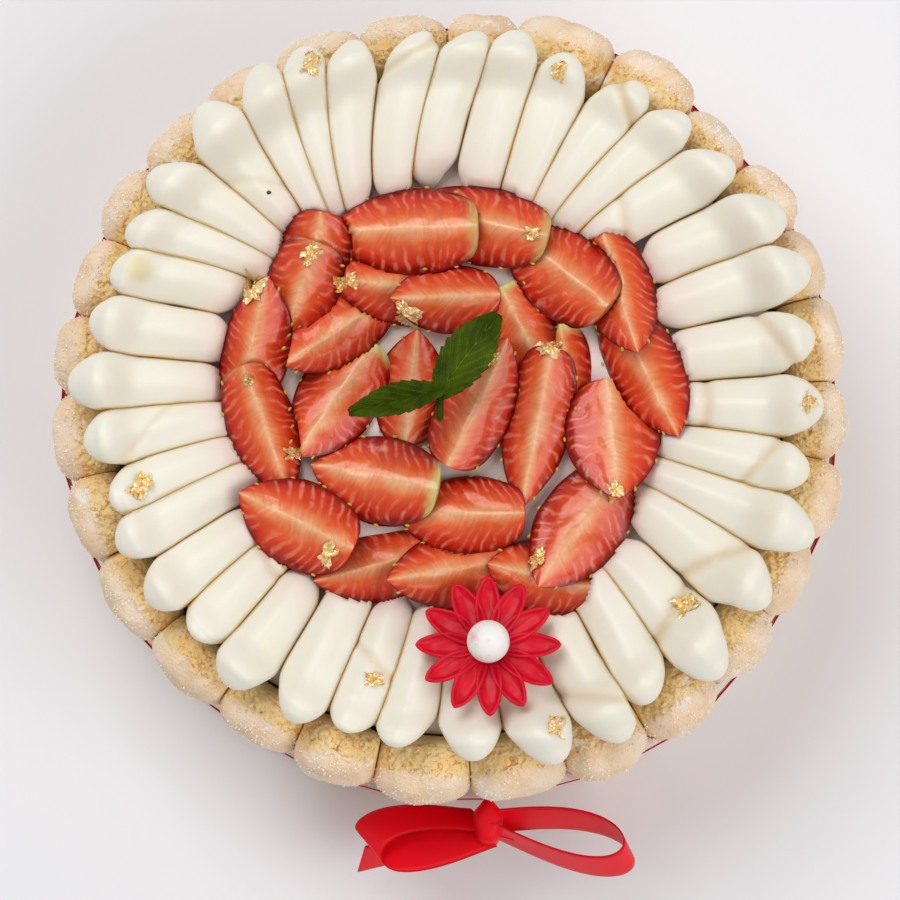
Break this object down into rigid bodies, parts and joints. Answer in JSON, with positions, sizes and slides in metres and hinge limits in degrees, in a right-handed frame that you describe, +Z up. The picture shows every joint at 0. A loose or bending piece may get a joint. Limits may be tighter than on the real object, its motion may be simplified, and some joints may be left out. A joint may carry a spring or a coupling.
{
  "type": "charlotte cake",
  "caption": "Round charlotte cake: a wall of upright sponge fingers tied with a satin bow, topped with piped cream petals, cut strawberries, mint and a sugar daisy.",
  "frame": {"origin": "centre of the cake's flat base, on the surface it stands on", "axes": "+Z up; -Y towards the front, where the bow is; +X to the right seen from the front"},
  "size_m": [0.2398, 0.2622, 0.0953],
  "materials": {
    "mousse": "soft, smooth cream mousse",
    "sponge": "baked sponge with a dry sugared crust",
    "cream": "smooth satin whipped cream",
    "strawberry": "wet cut fruit with a glossy glaze",
    "red_sugar": "glossy red sugar paste",
    "white_sugar": "matt white sugar paste",
    "mint": "fresh green leaf",
    "satin": "red satin weave"
  },
  "bodies": {
    "root": {"cake_body": "mousse", "ladyfinger_01": "sponge", "ladyfinger_02": "sponge", "ladyfinger_03": "sponge", "ladyfinger_04": "sponge", "ladyfinger_05": "sponge", "ladyfinger_06": "sponge", "ladyfinger_07": "sponge", "ladyfinger_08": "sponge", "ladyfinger_09": "sponge", "ladyfinger_10": "sponge", "ladyfinger_11": "sponge", "ladyfinger_12": "sponge", "ladyfinger_13": "sponge", "ladyfinger_14": "sponge", "ladyfinger_15": "sponge", "ladyfinger_16": "sponge", "ladyfinger_17": "sponge", "ladyfinger_18": "sponge", "ladyfinger_19": "sponge", "ladyfinger_20": "sponge", "ladyfinger_21": "sponge", "ladyfinger_22": "sponge", "ladyfinger_23": "sponge", "ladyfinger_24": "sponge", "ladyfinger_25": "sponge", "ladyfinger_26": "sponge", "ladyfinger_27": "sponge", "ladyfinger_28": "sponge", "piped_cream": "cream", "strawberry_01": "strawberry", "strawberry_02": "strawberry", "strawberry_03": "strawberry", "strawberry_04": "strawberry", "strawberry_05": "strawberry", "strawberry_06": "strawberry", "strawberry_07": "strawberry", "strawberry_08": "strawberry", "strawberry_09": "strawberry", "strawberry_10": "strawberry", "strawberry_11": "strawberry", "strawberry_12": "strawberry", "strawberry_13": "strawberry", "strawberry_14": "strawberry", "strawberry_15": "strawberry", "strawberry_16": "strawberry", "strawberry_17": "strawberry", "strawberry_18": "strawberry", "strawberry_19": "strawberry", "strawberry_20": "strawberry", "strawberry_21": "strawberry", "strawberry_22": "strawberry", "strawberry_23": "strawberry", "strawberry_24": "strawberry", "strawberry_25": "strawberry", "strawberry_26": "strawberry", "daisy_petals": "red_sugar", "daisy_ball": "white_sugar", "mint_sprig": "mint", "ribbon": "satin"}
  },
  "joints": []
}
